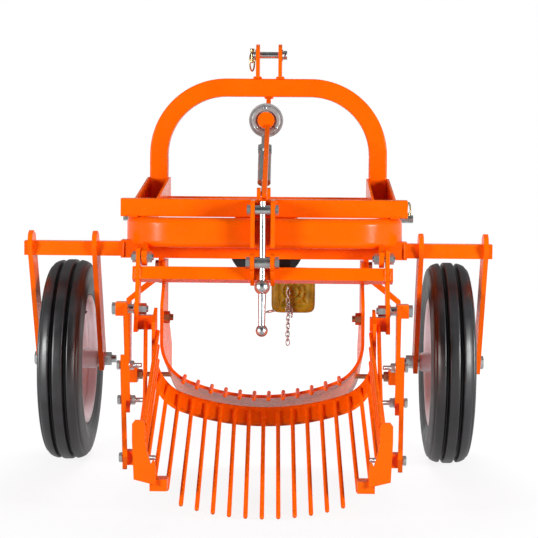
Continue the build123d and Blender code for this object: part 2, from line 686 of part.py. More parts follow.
# Rocker: two side plates and the turned square bar between them
plate_outline = [(-210, 566), (-250, 566), (-266, 480), (-306, 367), (-262, 367), (-222, 480)]
bar_place = Location((0, *ROCKER_BAR_AT), (ROCKER_BAR_TURN, 0, 0))
rocker_bar = bar_place * Box(2 * ROCKER_BAR_HALF, ROCKER_BAR, ROCKER_BAR)
inner_size = ROCKER_BAR - 2 * TUBE_WALL
rocker_bore = bar_place * Box(2 * ROCKER_BAR_HALF + 2, inner_size, inner_size)
rocker = rocker_bar
for plate in pair(side_plate(plate_outline, ROCKER_X0, ROCKER_X1)):
    rocker += plate
rocker -= rocker_bore
for way in (-1, 1):
    rocker -= rod((way * (ROCKER_X0 - 1), *P0), (way * (ROCKER_X1 + 1), *P0), PIVOT_R + PIVOT_GAP)
    rocker -= rod((way * (ROCKER_X0 - 1), *P1), (way * (ROCKER_X1 + 1), *P1), PIVOT_R)
save("rocker", rocker)

# Jack lugs on the rocker's bar
eye_lug = side_plate(
    [(-256, 556), (-250, 520), (-238, 484), (-262, 478), (-290, 512), (-294, 536)],
    JACK_LUG_X0, JACK_LUG_X1,
)
eye_lug += rod((JACK_LUG_X0, *JACK_EYE), (JACK_LUG_X1, *JACK_EYE), 22)
eye_lug -= rocker_bar
eye_lug -= rod((JACK_LUG_X0 - 1, *JACK_EYE), (JACK_LUG_X1 + 1, *JACK_EYE), JACK_PIN_R + PIVOT_GAP)
save("jack_eye_lugs", *pair(eye_lug))

# Jack lugs on the toolbar
top_outline = [
    (bar_rear, bar_z1), (bar_rear, bar_z0), (HOOP_REAR, HOOP_Z1), (HOOP_REAR, 585), (-250, 572),
    (-280, 572), (-284, 600), (-284, 680), (-278, bar_z1),
]
top_lug = side_plate(top_outline, JACK_LUG_X0, JACK_LUG_X1)
top_lug -= hoop_solid
top_lug -= rod((JACK_LUG_X0 - 1, *JACK_TOP), (JACK_LUG_X1 + 1, *JACK_TOP), JACK_PIN_R + PIVOT_GAP)
save("jack_top_lugs", *pair(top_lug))

# Screw jack: upper barrel with the screw, crank ball, grip and knob
jack_lean = (JACK_EYE[0] - JACK_TOP[0]) / (JACK_EYE[1] - JACK_TOP[1])


def jack_at(z):
    """The point on the screw's line at a height."""
    return 0, JACK_TOP[0] + (z - JACK_TOP[1]) * jack_lean, z


screw = rod(jack_at(BALL_Z), jack_at(SCREW_TOP_Z), SCREW_R)
screw += Pos(*jack_at(BALL_Z)) * Sphere(BALL_R)
grip_line = Vector(*jack_at(KNOB_Z)) - Vector(*jack_at(BALL_Z))
grip = Solid.make_cone(
    GRIP_R0, GRIP_R1, grip_line.length, Plane(origin=jack_at(BALL_Z), z_dir=grip_line)
)
screw += grip
screw += Pos(*jack_at(KNOB_Z)) * Sphere(KNOB_R)
barrel = rod((-BARREL_HALF, *JACK_TOP), (BARREL_HALF, *JACK_TOP), UPPER_BARREL_R)
barrel_pin = rod((-JACK_LUG_X1 - 1, *JACK_TOP), (JACK_LUG_X1 + 1, *JACK_TOP), JACK_PIN_R)
for way in (-1, 1):
    barrel_pin += hexagon(
        (way * (JACK_LUG_X1 + 1), *JACK_TOP), (way * (JACK_LUG_X1 + 9), *JACK_TOP), 22
    )
top_barrel = barrel + barrel_pin - screw
save("jack_screw", screw)
save("jack_top_barrel", top_barrel)
eye_barrel = rod((-BARREL_HALF, *JACK_EYE), (BARREL_HALF, *JACK_EYE), LOWER_BARREL_R)
eye_barrel += rod((-JACK_LUG_X1 - 1, *JACK_EYE), (JACK_LUG_X1 + 1, *JACK_EYE), JACK_PIN_R)
for way in (-1, 1):
    eye_barrel += hexagon(
        (way * (JACK_LUG_X1 + 1), *JACK_EYE), (way * (JACK_LUG_X1 + 11), *JACK_EYE), 26
    )
eye_barrel -= rod(jack_at(BALL_Z), jack_at(SCREW_TOP_Z), SCREW_R + SCREW_GAP)
save("jack_eye_barrel", eye_barrel)

# Sieve band and rods
slope = math.radians(SIEVE_FALL)
sieve_dir = (0, -math.cos(slope), -math.sin(slope))
band_face = u_strip(
    SIEVE_HALF, SIEVE_Z, SIEVE_FLOOR_R, SIEVE_CORNER_R, SIEVE_TOP, BAND_T, SIEVE_FRONT
)
band = Pos(FRONT_SHIFT, 0, 0) * extrude(band_face, BAND_L, dir=sieve_dir)
rod_half = SIEVE_HALF - TINE_R + TINE_SINK
rod_floor = SIEVE_Z + TINE_R - TINE_SINK
rod_floor_r = SIEVE_FLOOR_R - TINE_R + TINE_SINK
rod_corner_r = SIEVE_CORNER_R - TINE_R + TINE_SINK
drop = math.tan(slope)
tines = []
for i in range(TINE_PAIRS + 1):
    front_x, front_z = u_point(rod_half, rod_floor, rod_floor_r, rod_corner_r, i * TINE_PITCH_FRONT)
    rear_x, rear_z = u_point(rod_half, rod_floor, rod_floor_r, rod_corner_r, i * TINE_PITCH)
    last_y = SIEVE_TIE if LONG_PAIRS < i <= LONG_PAIRS + TIED_PAIRS else SIEVE_END
    end_y = last_y + TINE_R
    for way in (-1, 1) if i else (1,):
        start = (way * front_x + FRONT_SHIFT, SIEVE_FRONT - TINE_INSET, front_z - TINE_INSET * drop)
        end = (way * rear_x + REAR_SHIFT, end_y, rear_z - (SIEVE_FRONT - end_y) * drop)
        tine = rod(start, end, TINE_R)
        if i <= LONG_PAIRS + 1:
            tine += Pos(*end) * Sphere(TINE_R)
        tine -= block(-2 * SIEVE_HALF, 2 * SIEVE_HALF, SIEVE_END - 100, SIEVE_END, -100, 600)
        tines.append(tine)
for tine in tines:
    band -= tine
save("sieve_band", band)
save("sieve_tines", *tines)

# Side blocks between the band and the rocker's plates, and the bent side rods behind them
side_blocks = []
side_rods = []
for way in (-1, 1):
    side_block = block(way * SIEVE_HALF, way * ROCKER_X0, P1[0] - 18, P1[0] + 9, BLOCK_Z0, BLOCK_Z1)
    side_block -= band
    side_blocks.append(side_block)
    corners = [(way * x + shift, y, z) for (x, y, z), shift in zip(SIDE_ROD, SIDE_ROD_SHIFT)]
    side_rod = rod(corners[0], corners[1], TINE_R) + Pos(*corners[1]) * Sphere(TINE_R)
    side_rod += rod(corners[1], corners[2], TINE_R)
    side_rod -= side_block
    side_rod -= block(-2 * SIEVE_HALF, 2 * SIEVE_HALF, SIEVE_END - 100, SIEVE_END, -100, 600)
    side_rods += [max(side_rod.solids(), key=lambda solid: solid.volume)]
save("side_blocks", *side_blocks)
save("side_rods", *side_rods)

# Arms from P1 to the rear brackets: upper strip with its boss, lower strip outside it, long bolt
boss_in = ARM_X - 4
boss_out = boss_in + BOSS_BLOCK_L
upper_arms = []
lower_arms = []
arm_bolts = []
for way in (-1, 1):
    arm_start = (way * ARM_X, *P1)
    arm_end = (way * ARM_END_X + REAR_SHIFT, *ARM_END)
    arm_run = Vector(*arm_end) - Vector(*arm_start)
    arm_l = arm_run.length
    arm_plane = Plane(origin=arm_start, x_dir=arm_run, z_dir=(way, -way * arm_run.X / arm_run.Y, 0))
    upper_mid = UPPER_SHARE * arm_l / 2
    upper_face = arm_plane * Pos(upper_mid, 0, -ARM_T / 2) * Rectangle(2 * upper_mid, ARM_W)
    upper = extrude(upper_face, ARM_T)
    upper += block(
        way * boss_in, way * boss_out,
        P1[0] - BOSS_BLOCK / 2, P1[0] + BOSS_BLOCK / 2,
        P1[1] - BOSS_BLOCK / 2, P1[1] + BOSS_BLOCK / 2,
    )
    upper -= rod((way * ROCKER_X0, *P1), (way * (boss_out + 2), *P1), PIVOT_R)
    upper_arms.append(upper)
    lower_l = (1 - LOWER_SHARE) * arm_l + ARM_TAIL
    lower_mid = LOWER_SHARE * arm_l + lower_l / 2
    lower_face = arm_plane * Pos(lower_mid, 0, ARM_T / 2) * Rectangle(lower_l, ARM_W)
    lower_arms.append(extrude(lower_face, ARM_T))
    arm_bolt = rod((way * (ROCKER_X0 - 22), *P1), (way * (boss_out + 2), *P1), PIVOT_R)
    arm_bolt += hexagon((way * boss_out, *P1), (way * (boss_out + 10), *P1), 26)
    arm_bolt += hexagon((way * (ROCKER_X0 - 18), *P1), (way * ROCKER_X0, *P1), 24)
    arm_bolt += rod((way * ROCKER_X1, *P1), (way * ARM_X, *P1), 11)
    arm_bolt -= upper
    arm_bolts.append(arm_bolt)
save("upper_arms", *upper_arms)
save("lower_arms", *lower_arms)
save("arm_bolts", *arm_bolts)

# Rear brackets: cut plates across the ends of the side rods, with a foot for the arm and a tie
bracket_outline = [
    (284, 211), (278, 219), (262, 219), (256, 213), (255, 174), (249, 143), (243, 123), (238, 133),
    (233, 125), (232, 104), (232, 77), (280, 89), (284, 176),
]
bracket = cross_plate(bracket_outline, SIEVE_END - BRACKET_T, SIEVE_END)
bracket += block(276, ARM_END_X + 8, SIEVE_END, SIEVE_END + 30, 119, 149)
tie_x = u_point(rod_half, rod_floor, rod_floor_r, rod_corner_r, (LONG_PAIRS + 1) * TINE_PITCH)[0]
bracket += block(tie_x - 3, 246, SIEVE_END, SIEVE_TIE + 8, 62, 88)
brackets = []
for plate in pair(bracket):
    placed = Pos(REAR_SHIFT, 0, 0) * plate
    for other in [*tines, *side_rods, *lower_arms]:
        placed -= other
    brackets.append(placed)
save("rear_brackets", *brackets)

# All nodes stand on the ground, with the centre of the footprint as their origin
whole = Compound(children=[solid for solids in nodes.values() for solid in solids])
box = whole.bounding_box()
origin = Location((-(box.min.X + box.max.X) / 2, -(box.min.Y + box.max.Y) / 2, 0))
os.makedirs("parts", exist_ok=True)
for name, solids in nodes.items():
    export_step(Compound(children=[origin * solid for solid in solids]), f"parts/{name}.step")
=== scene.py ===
import math
import bmesh
import bpy
import numpy as np
from mathutils import Euler, Matrix, Vector


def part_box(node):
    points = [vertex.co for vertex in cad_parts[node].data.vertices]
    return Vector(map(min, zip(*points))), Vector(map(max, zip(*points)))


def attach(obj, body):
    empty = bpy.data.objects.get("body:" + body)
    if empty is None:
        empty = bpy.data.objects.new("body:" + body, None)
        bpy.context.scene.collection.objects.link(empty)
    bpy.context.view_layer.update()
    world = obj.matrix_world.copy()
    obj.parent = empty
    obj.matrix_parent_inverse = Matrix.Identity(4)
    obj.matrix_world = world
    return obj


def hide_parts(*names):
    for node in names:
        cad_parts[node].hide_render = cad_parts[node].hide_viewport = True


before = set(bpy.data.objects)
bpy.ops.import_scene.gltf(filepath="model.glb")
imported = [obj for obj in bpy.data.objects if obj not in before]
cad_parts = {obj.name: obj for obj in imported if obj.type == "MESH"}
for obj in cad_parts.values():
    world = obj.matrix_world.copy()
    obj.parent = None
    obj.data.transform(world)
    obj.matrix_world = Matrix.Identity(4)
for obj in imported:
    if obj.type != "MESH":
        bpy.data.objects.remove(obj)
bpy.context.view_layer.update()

hoop_low, hoop_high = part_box("hoop")
MID_X = (hoop_low[0] + hoop_high[0]) / 2
AXLE_Y = hoop_high[1] - 0.330


def at(x, y, z):
    """A point given in machine millimetres, as metres in the row frame."""
    return np.array([MID_X + x / 1000, AXLE_Y + y / 1000, z / 1000])


# Camera.
# It stands 4 m behind the axles and looks forward, 2 degrees down. A long lens, shifted down,
# keeps the two wheels almost upright.
CAMERA_AT = (95.0, -4000.0, 809.0)
# Degrees down, about the view's own axis, and to the left.
PITCH, ROLL, YAW = 2.2, 0.45, 1.23
SENSOR_MM = 36.0
LENS_MM = 102.9145
# The shift of the lens, as a share of the sensor's width.
LENS_DROP = 0.1113
view = bpy.data.cameras.new("rear_view")
view.sensor_width = SENSOR_MM
view.lens = LENS_MM
view.clip_end = 60.0
view.shift_y = -LENS_DROP
watcher = bpy.data.objects.new("rear_view", view)
bpy.context.scene.collection.objects.link(watcher)
watcher.location = at(*CAMERA_AT)
tilt = (math.radians(90 - PITCH), 0.0, math.radians(YAW))
turn = Euler(tilt, "XYZ").to_matrix() @ Matrix.Rotation(math.radians(ROLL), 3, "Z")
watcher.rotation_euler = turn.to_euler("XYZ")
bpy.context.scene.camera = watcher
bpy.context.scene.view_settings.view_transform = "Standard"


# Studio floor, white surround and lamps.
# The floor is matt white card that keeps the machine's soft shadow, under a plain white room and
# three large soft lamps.
def linear(code):
    """An sRGB hex colour as linear RGBA: each channel follows the sRGB curve."""
    channels = [int(code[i:i + 2], 16) / 255 for i in (0, 2, 4)]
    return tuple(c / 12.92 if c <= 0.04045 else ((c + 0.055) / 1.055) ** 2.4 for c in channels) + (1.0,)


def add(tree, kind, inputs=None, **settings):
    """Adds a node, sets its settings, and sets or links its inputs."""
    made = tree.nodes.new(kind)
    for key, value in settings.items():
        setattr(made, key, value)
    for key, value in (inputs or {}).items():
        if isinstance(value, bpy.types.NodeSocket):
            tree.links.new(value, made.inputs[key])
        else:
            made.inputs[key].default_value = value
    return made


def remap(tree, value, low, high, start=0.0, end=1.0):
    """A value that runs from low to high, made to run from start to end and held beyond them."""
    return add(tree, "ShaderNodeMapRange", {"Value": value, "From Min": low, "From Max": high,
                                            "To Min": start, "To Max": end}).outputs[0]


def fresh(name):
    """A new material with its node tree emptied."""
    material = bpy.data.materials.new(name)
    material.use_nodes = True
    material.node_tree.nodes.clear()
    return material, material.node_tree


def skin(name, grid, wrap=(False, False), smooth=True):
    """A mesh from a grid of points: each cell of the array is one face, and a wrapped direction
    joins its last row to its first. Doubles at poles are merged and faces turned outwards."""
    rows, cols = grid.shape[:2]
    i = np.arange(rows if wrap[0] else rows - 1)
    j = np.arange(cols if wrap[1] else cols - 1)
    a, b = np.meshgrid(i, j, indexing="ij")
    a1, b1 = (a + 1) % rows, (b + 1) % cols
    faces = np.stack([a * cols + b, a1 * cols + b, a1 * cols + b1, a * cols + b1], -1).reshape(-1, 4)
    mesh = bpy.data.meshes.new(name)
    mesh.from_pydata(grid.reshape(-1, 3).tolist(), [], faces.tolist())
    shape = bmesh.new()
    shape.from_mesh(mesh)
    bmesh.ops.remove_doubles(shape, verts=shape.verts, dist=1e-6)
    bmesh.ops.recalc_face_normals(shape, faces=shape.faces)
    shape.to_mesh(mesh)
    shape.free()
    mesh.shade_smooth() if smooth else mesh.shade_flat()
    piece = bpy.data.objects.new(name, mesh)
    bpy.context.scene.collection.objects.link(piece)
    return piece


card, tree = fresh("matt_white_card")
rays = add(tree, "ShaderNodeLightPath")
matt = add(tree, "ShaderNodeBsdfDiffuse", {"Color": linear("9A9A9A")})
faint = add(tree, "ShaderNodeBsdfDiffuse", {"Color": linear("666666")})
# The card is lit to full white from 3 m out and keeps the machine's soft shadow within.
spot = add(tree, "ShaderNodeTexCoord").outputs["Object"]
reach = add(tree, "ShaderNodeVectorMath", {0: spot}, operation="LENGTH")
strength = remap(tree, reach.outputs["Value"], 0.9, 3.0, 0.87, 1.0)
glow = add(tree, "ShaderNodeEmission", {"Color": linear("FFFFFF"), "Strength": strength})
lit = add(tree, "ShaderNodeAddShader", {0: faint.outputs[0], 1: glow.outputs[0]})
# In mirrors the card is lit only in part.
CARD_IN_MIRRORS = 0.45
glint = add(tree, "ShaderNodeMath", {0: rays.outputs["Is Glossy Ray"], 1: CARD_IN_MIRRORS},
            operation="MULTIPLY")
seen = add(tree, "ShaderNodeMath", {0: rays.outputs["Is Camera Ray"], 1: glint.outputs[0]},
           operation="MAXIMUM")
both = add(tree, "ShaderNodeMixShader", {0: seen.outputs[0], 1: matt.outputs[0], 2: lit.outputs[0]})
add(tree, "ShaderNodeOutputMaterial", {"Surface": both.outputs[0]})
u, v = np.meshgrid(np.linspace(-9, 9, 13), np.linspace(-9, 9, 13), indexing="ij")
floor = skin("studio_floor", np.stack([u, v, 0 * u], -1))
floor.data.materials.append(card)

# The share of white light that the room itself gives to matt surfaces.
FILL = 0.08
# In mirrors the sweep ahead is bright near the horizon and faint above it, and the room behind
# the camera is dark.
HORIZON_IN_MIRRORS, SKY_IN_MIRRORS = 0.9, 0.26
room = bpy.data.worlds.new("white_room")
room.use_nodes = True
tree = room.node_tree
tree.nodes.clear()
rays = add(tree, "ShaderNodeLightPath")
eye = add(tree, "ShaderNodeMath", {0: rays.outputs["Is Camera Ray"],
                                   1: rays.outputs["Is Transmission Ray"]}, operation="MAXIMUM")
facing = add(tree, "ShaderNodeSeparateXYZ", {0: add(tree, "ShaderNodeTexCoord").outputs["Generated"]})
forward = remap(tree, facing.outputs["Y"], -0.75, -0.15)
height = remap(tree, facing.outputs["Z"], 0.0, 0.14, HORIZON_IN_MIRRORS, SKY_IN_MIRRORS)
reflected = add(tree, "ShaderNodeMath", {0: forward, 1: height}, operation="MULTIPLY")
fill = add(tree, "ShaderNodeMix", {0: rays.outputs["Is Glossy Ray"], 2: FILL, 3: reflected.outputs[0]})
level = add(tree, "ShaderNodeMix", {0: eye.outputs[0], 2: fill.outputs[0], 3: 1.0})
sky = add(tree, "ShaderNodeBackground", {"Color": linear("FFFFFF"), "Strength": level.outputs[0]})
add(tree, "ShaderNodeOutputWorld", {"Surface": sky.outputs[0]})
bpy.context.scene.world = room

# The lamps point at the middle of the machine. The overhead lamp stands high in front of it.
LAMPS_AIM = (0, -100, 450)
# name, machine position mm, size m, watts, seen in mirrors
LAMPS = (
    ("lamp_rear_left", (-2700, -2500, 1000), 1.2, 105.0, True),
    ("lamp_rear_right", (2800, -2400, 1050), 1.2, 125.0, True),
    ("lamp_overhead", (0, 2300, 2500), 1.6, 100.0, False),
)
for name, place, size, watts, mirrored in LAMPS:
    lamp = bpy.data.lights.new(name, "AREA")
    lamp.shape = "DISK"
    lamp.size = size
    lamp.energy = watts
    holder = bpy.data.objects.new(name, lamp)
    holder.location = at(*place)
    aim = at(*LAMPS_AIM) - at(*place)
    holder.rotation_euler = Vector(aim).to_track_quat("-Z", "Y").to_euler()
    holder.visible_glossy = mirrored
    bpy.context.scene.collection.objects.link(holder)


# Welded steelwork.
# Cut, bent and welded mild steel under stove-dried orange gloss enamel: a wet shine with fine
# orange peel, a little darker where it pooled, and chipped to red-brown primer along some edges.
def noise(tree, spot, scale, detail, rough=0.5):
    """Fractal noise whose patches are about 1 / scale metres wide."""
    return add(tree, "ShaderNodeTexNoise", {"Vector": spot, "Scale": scale, "Detail": detail,
                                            "Roughness": rough}).outputs[0]


def blended(tree, share, first, second):
    """Two colours mixed: share is how much of the second one shows."""
    return add(tree, "ShaderNodeMix", {0: share, 6: first, 7: second}, data_type="RGBA").outputs[2]


def bumped(tree, height, depth, strength, **normal):
    """A relief: height is a pattern from 0 to 1, drawn depth metres deep."""
    return add(tree, "ShaderNodeBump", {"Height": height, "Distance": depth, "Strength": strength,
                                        **normal}).outputs[0]


def surfaced(tree, inputs):
    """Ends a material's tree with one principled surface."""
    shader = add(tree, "ShaderNodeBsdfPrincipled", inputs)
    add(tree, "ShaderNodeOutputMaterial", {"Surface": shader.outputs[0]})


PRIMER = "8C4A2E"


def enamel(name, code, pooled, rough, peel, gleam):
    """Sprayed gloss enamel: pooled is the colour of thicker coats, peel the height of its ripple in
    metres, and gleam the strength of its reflections."""
    material, tree = fresh(name)
    spot = add(tree, "ShaderNodeTexCoord").outputs["Object"]
    # Coats vary over hand-wide patches of about 90 mm.
    coat = remap(tree, noise(tree, spot, 11.0, 3.0), 0.35, 0.75, 0.0, 0.45)
    tone = blended(tree, coat, linear(code), linear(pooled))
    # Edges are found by comparing the true surface with one rounded by 1.2 mm.
    true_side = add(tree, "ShaderNodeNewGeometry")
    rounded = add(tree, "ShaderNodeBevel", {"Radius": 0.0012}, samples=4).outputs[0]
    match = add(tree, "ShaderNodeVectorMath", {0: rounded, 1: true_side.outputs["Normal"]},
                operation="DOT_PRODUCT")
    edge = remap(tree, match.outputs["Value"], 0.985, 0.86)
    # Chips are 2 to 4 mm across.
    sparse = remap(tree, noise(tree, spot, 260.0, 2.0), 0.66, 0.69)
    chip = add(tree, "ShaderNodeMath", {0: edge, 1: sparse}, operation="MULTIPLY")
    worn = blended(tree, chip.outputs[0], tone, linear(PRIMER))
    # Handling marks dull the shine in patches about 25 mm wide.
    dull = remap(tree, noise(tree, spot, 40.0, 4.0), 0.3, 0.8, rough, rough + 0.16)
    # Orange peel has a 3 mm ripple.
    ripple = noise(tree, spot, 330.0, 1.0)
    surfaced(tree, {"Base Color": worn, "Roughness": dull, "IOR": 1.45,
                    "Normal": bumped(tree, ripple, peel, 0.5, Normal=rounded),
                    "Coat Weight": 0.2 * gleam, "Coat Roughness": 0.08, "Specular IOR Level": gleam})
    return material


def coat_nodes(material, *names):
    """Gives CAD nodes one finish over all their faces."""
    for name in names:
        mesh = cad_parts[name].data
        mesh.materials.clear()
        mesh.materials.append(material)
        mesh.polygons.foreach_set("material_index", np.zeros(len(mesh.polygons), dtype=np.int32))


orange = enamel("stoved_orange_enamel", "FF6600", "FC5800", 0.18, 0.00004, 0.18)
coat_nodes(orange, "hoop", "cross_tube", "toolbar", "fork_left", "fork_right", "mast", "mast_seats",
           "front_rail", "top_link_ears", "mast_brace", "drive_case", "share", "share_fingers",
           "share_hangers", "pivot_lugs", "jack_top_lugs", "rocker", "jack_eye_lugs", "side_blocks",
           "side_rods", "sieve_band", "sieve_tines", "upper_arms", "lower_arms", "rear_brackets")


# Weld beads on the steelwork.
# Hand-laid fillets where tube meets tube, one ripple every 4 mm, painted over with the frame.
def carried(name, centre, radius, around=10, closed=False):
    """A tube: circles of the given radii carried along a line of points, each circle square to the
    line there. A closed line joins its end to its start."""
    line = np.asarray(centre, float)
    if closed:
        ahead = np.roll(line, -1, 0) - np.roll(line, 1, 0)
    else:
        ahead = np.gradient(line, axis=0)
    ahead /= np.linalg.norm(ahead, axis=1, keepdims=True)
    spread = np.linalg.svd(line - line.mean(0), full_matrices=True)[2][2]
    side = np.cross(ahead, spread)
    side /= np.linalg.norm(side, axis=1, keepdims=True)
    other = np.cross(ahead, side)
    angle = np.linspace(0, 2 * np.pi, around, endpoint=False)
    r = np.broadcast_to(np.asarray(radius, float), (len(line),))[:, None, None]
    ring = np.cos(angle)[None, :, None] * side[:, None] + np.sin(angle)[None, :, None] * other[:, None]
    grid = line[:, None] + r * ring
    if not closed:
        grid = np.concatenate([line[:1, None].repeat(around, 1), grid, line[-1:, None].repeat(around, 1)])
    return skin(name, grid, (closed, True))


RIPPLE_M, RIPPLE_STEP_M = 0.004, 0.0013


def bead(name, start, end, body, size):
    """A weld: a round bead whose radius swells and shrinks once every 4 mm of its run. Size is
    that radius at its fullest, in mm."""
    a, b = at(*start), at(*end)
    run = np.linalg.norm(b - a)
    t = np.linspace(0, 1, max(12, int(run / RIPPLE_STEP_M)))
    swell = size / 1000 * (0.86 + 0.14 * np.abs(np.sin(np.pi * t * run / RIPPLE_M)))
    swell = swell * np.minimum(1, 8 * np.minimum(t, 1 - t) + 0.5)
    piece = carried(name, a + t[:, None] * (b - a), swell, 8)
    piece.data.materials.append(orange)
    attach(piece, body)


hoop_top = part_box("hoop")[1][2] * 1000
bar_lo, bar_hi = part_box("toolbar")
BAR_Y0 = (bar_lo[1] - AXLE_Y) * 1000
BAR_Y1 = (bar_hi[1] - AXLE_Y) * 1000
BAR_TOP = bar_hi[2] * 1000
mast_lo, mast_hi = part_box("mast")
MAST_TOP = mast_hi[2] * 1000
MAST_FOOT = mast_lo[2] * 1000
# name, start, end, body, size
BEADS = [
    ("weld_bar_rear_left",
     (-338, BAR_Y0 - 1, hoop_top + 1), (-314, BAR_Y0 - 1, hoop_top + 1), "frame", 3.4),
    ("weld_bar_rear_right",
     (314, BAR_Y0 - 1, hoop_top + 1), (338, BAR_Y0 - 1, hoop_top + 1), "frame", 3.4),
    ("weld_brace_foot_left", (-7, BAR_Y0 + 2, BAR_TOP + 1), (-7, BAR_Y1 - 4, BAR_TOP + 1), "frame", 3.0),
    ("weld_brace_foot_right", (7, BAR_Y0 + 2, BAR_TOP + 1), (7, BAR_Y1 - 4, BAR_TOP + 1), "frame", 3.0),
    ("weld_brace_head_left", (-8, 286, MAST_TOP - 51), (-8, 312, MAST_TOP - 51), "frame", 5.0),
    ("weld_brace_head_right", (8, 286, MAST_TOP - 51), (8, 312, MAST_TOP - 51), "frame", 5.0),
]
for side in (-1, 1):
    word = "left" if side < 0 else "right"
    BEADS += [
        (f"weld_ear_outer_{word}",
         (side * 39, 272, MAST_TOP + 2), (side * 39, 318, MAST_TOP + 2), "frame", 4.6),
        (f"weld_ear_inner_{word}",
         (side * 23.5, 272, MAST_TOP + 2), (side * 23.5, 318, MAST_TOP + 2), "frame", 4.2),
        (f"weld_mast_rear_{word}",
         (side * 282, 279, MAST_FOOT + 2), (side * 328, 279, MAST_FOOT + 2), "frame", 3.4),
        (f"weld_seat_{word}",
         (side * 337, -120, hoop_top + 8), (side * 337, 318, hoop_top + 8), "frame", 2.6),
        (f"weld_jack_top_{word}",
         (side * 30.5, BAR_Y0 - 2, BAR_TOP - 42), (side * 30.5, BAR_Y0 - 2, BAR_TOP - 2), "frame", 2.8),
        (f"weld_rocker_outer_{word}", (side * 311.5, -264, 491), (side * 311.5, -257, 521), "sieve", 2.8),
        (f"weld_rocker_inner_{word}", (side * 298.5, -265, 491), (side * 298.5, -258, 521), "sieve", 2.8),
        (f"weld_socket_{word}", (side * 350.5, -164.5, 539), (side * 350.5, -164.5, 579), "frame", 2.8),
    ]
for name, start, end, body, size in BEADS:
    bead(name, start, end, body, size)


# Wheels: tyres.
# 4.00-12 front tyres of black vulcanised rubber, moulded with three ribs and two deep grooves,
# a scuff line on each wall and fine moulding rings.
def turned(name, profile, centre, around=96, wrap=False):
    """A lathe shape about X: a profile of (along, radius) in mm turned once round the centre."""
    p = np.asarray(profile, float) / 1000
    angle = np.linspace(0, 2 * np.pi, around, endpoint=False)[:, None]
    along = np.broadcast_to(p[:, 0], (around, len(p)))
    grid = np.stack([along, p[:, 1] * np.cos(angle), p[:, 1] * np.sin(angle)], -1) + centre
    return skin(name, grid, (True, wrap))


def eased(points, steps=5):
    """Rounds a broken line: each corner becomes a short quadratic curve over a third of its sides."""
    p = np.asarray(points, float)
    before = p[1:-1] + (p[:-2] - p[1:-1]) / 3
    after = p[1:-1] + (p[2:] - p[1:-1]) / 3
    t = np.linspace(0, 1, steps)[None, :, None]
    curve = (1 - t) ** 2 * before[:, None] + 2 * t * (1 - t) * p[1:-1, None] + t ** 2 * after[:, None]
    return np.concatenate([p[:1], curve.reshape(-1, 2), p[-1:]])


rubber, tree = fresh("vulcanised_tyre_rubber")
spot = add(tree, "ShaderNodeTexCoord").outputs["Object"]
# Road dust sits in patches about 60 mm wide; the moulded grain is 0.8 mm, drawn at 1.6 mm to show.
dust = noise(tree, spot, 16.0, 6.0, 0.6)
black = blended(tree, remap(tree, dust, 0.42, 0.8, 0.0, 0.55), linear("1C1D1F"), linear("3A3B40"))
grain = noise(tree, spot, 620.0, 2.0)
surfaced(tree, {"Base Color": black, "Roughness": remap(tree, dust, 0.3, 0.8, 0.30, 0.52),
                "Normal": bumped(tree, grain, 0.0002, 0.45), "IOR": 1.52, "Specular IOR Level": 0.8})

TYRE_HALF = [
    (0, 259.5), (9, 259.5), (12.5, 258), (14, 246.5), (17.5, 244), (21, 246.5), (22.5, 257), (26, 257.5),
    (36, 254.5), (43, 250.5), (45.5, 245), (49, 244), (51.5, 238), (53.5, 229), (55, 220), (55.6, 217),
    (54.6, 215.5), (55.8, 213), (56, 204), (54.8, 196), (53.8, 194.5), (54, 191), (51.5, 183), (48.5, 177),
    (47.2, 172), (45.2, 168.6), (42.4, 167.2), (42.4, 158.6), (20, 158.4), (0, 158.4),
]
half = eased(TYRE_HALF)
tyre_line = np.concatenate([half, (half * (-1, 1))[::-1][1:-1]])
for side in ("left", "right"):
    low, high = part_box(f"tyre_{side}")
    centre = (np.array(low) + np.array(high)) / 2
    tyre = turned(f"ribbed_tyre_{side}", tyre_line, centre, 144, True)
    tyre.data.materials.append(rubber)
    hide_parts(f"tyre_{side}")
    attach(tyre, f"wheel_{side}")

# Wheels: rims.
# Pressed steel rims in satin off-white with a lavender cast: rolled edges, a drop centre, a dished
# disc and a long plain hub tube welded through it.
pale = enamel("satin_off_white_enamel", "F4F2F8", "E6E2EE", 0.34, 0.00004, 0.4)
RIM_PROFILE = [
    (-45.5, 160), (-45.6, 166.4), (-44.2, 167), (-42.6, 164), (-42, 157.6), (-26, 156.4), (-21, 146),
    (18, 146), (23, 156.4), (42, 157.6), (42.6, 164), (44.2, 167), (45.6, 166.4), (45.5, 160), (43, 154.6),
    (26, 153.4), (21.5, 143), (9, 141), (5, 132), (9, 118), (17, 104), (19, 84), (12, 66), (3.8, 52),
    (3.8, 36), (6, 28), (9, 25.2), (69.3, 25.2), (69.3, 10.3), (-69.3, 10.3), (-69.3, 25.2), (-7, 25.2),
    (-4, 28), (-2, 36), (-2, 52), (6, 66), (13, 84), (11, 104), (3, 118), (-2, 132), (3, 141), (-3, 143),
    (-19.5, 143), (-24, 153.4), (-43, 154.6),
]
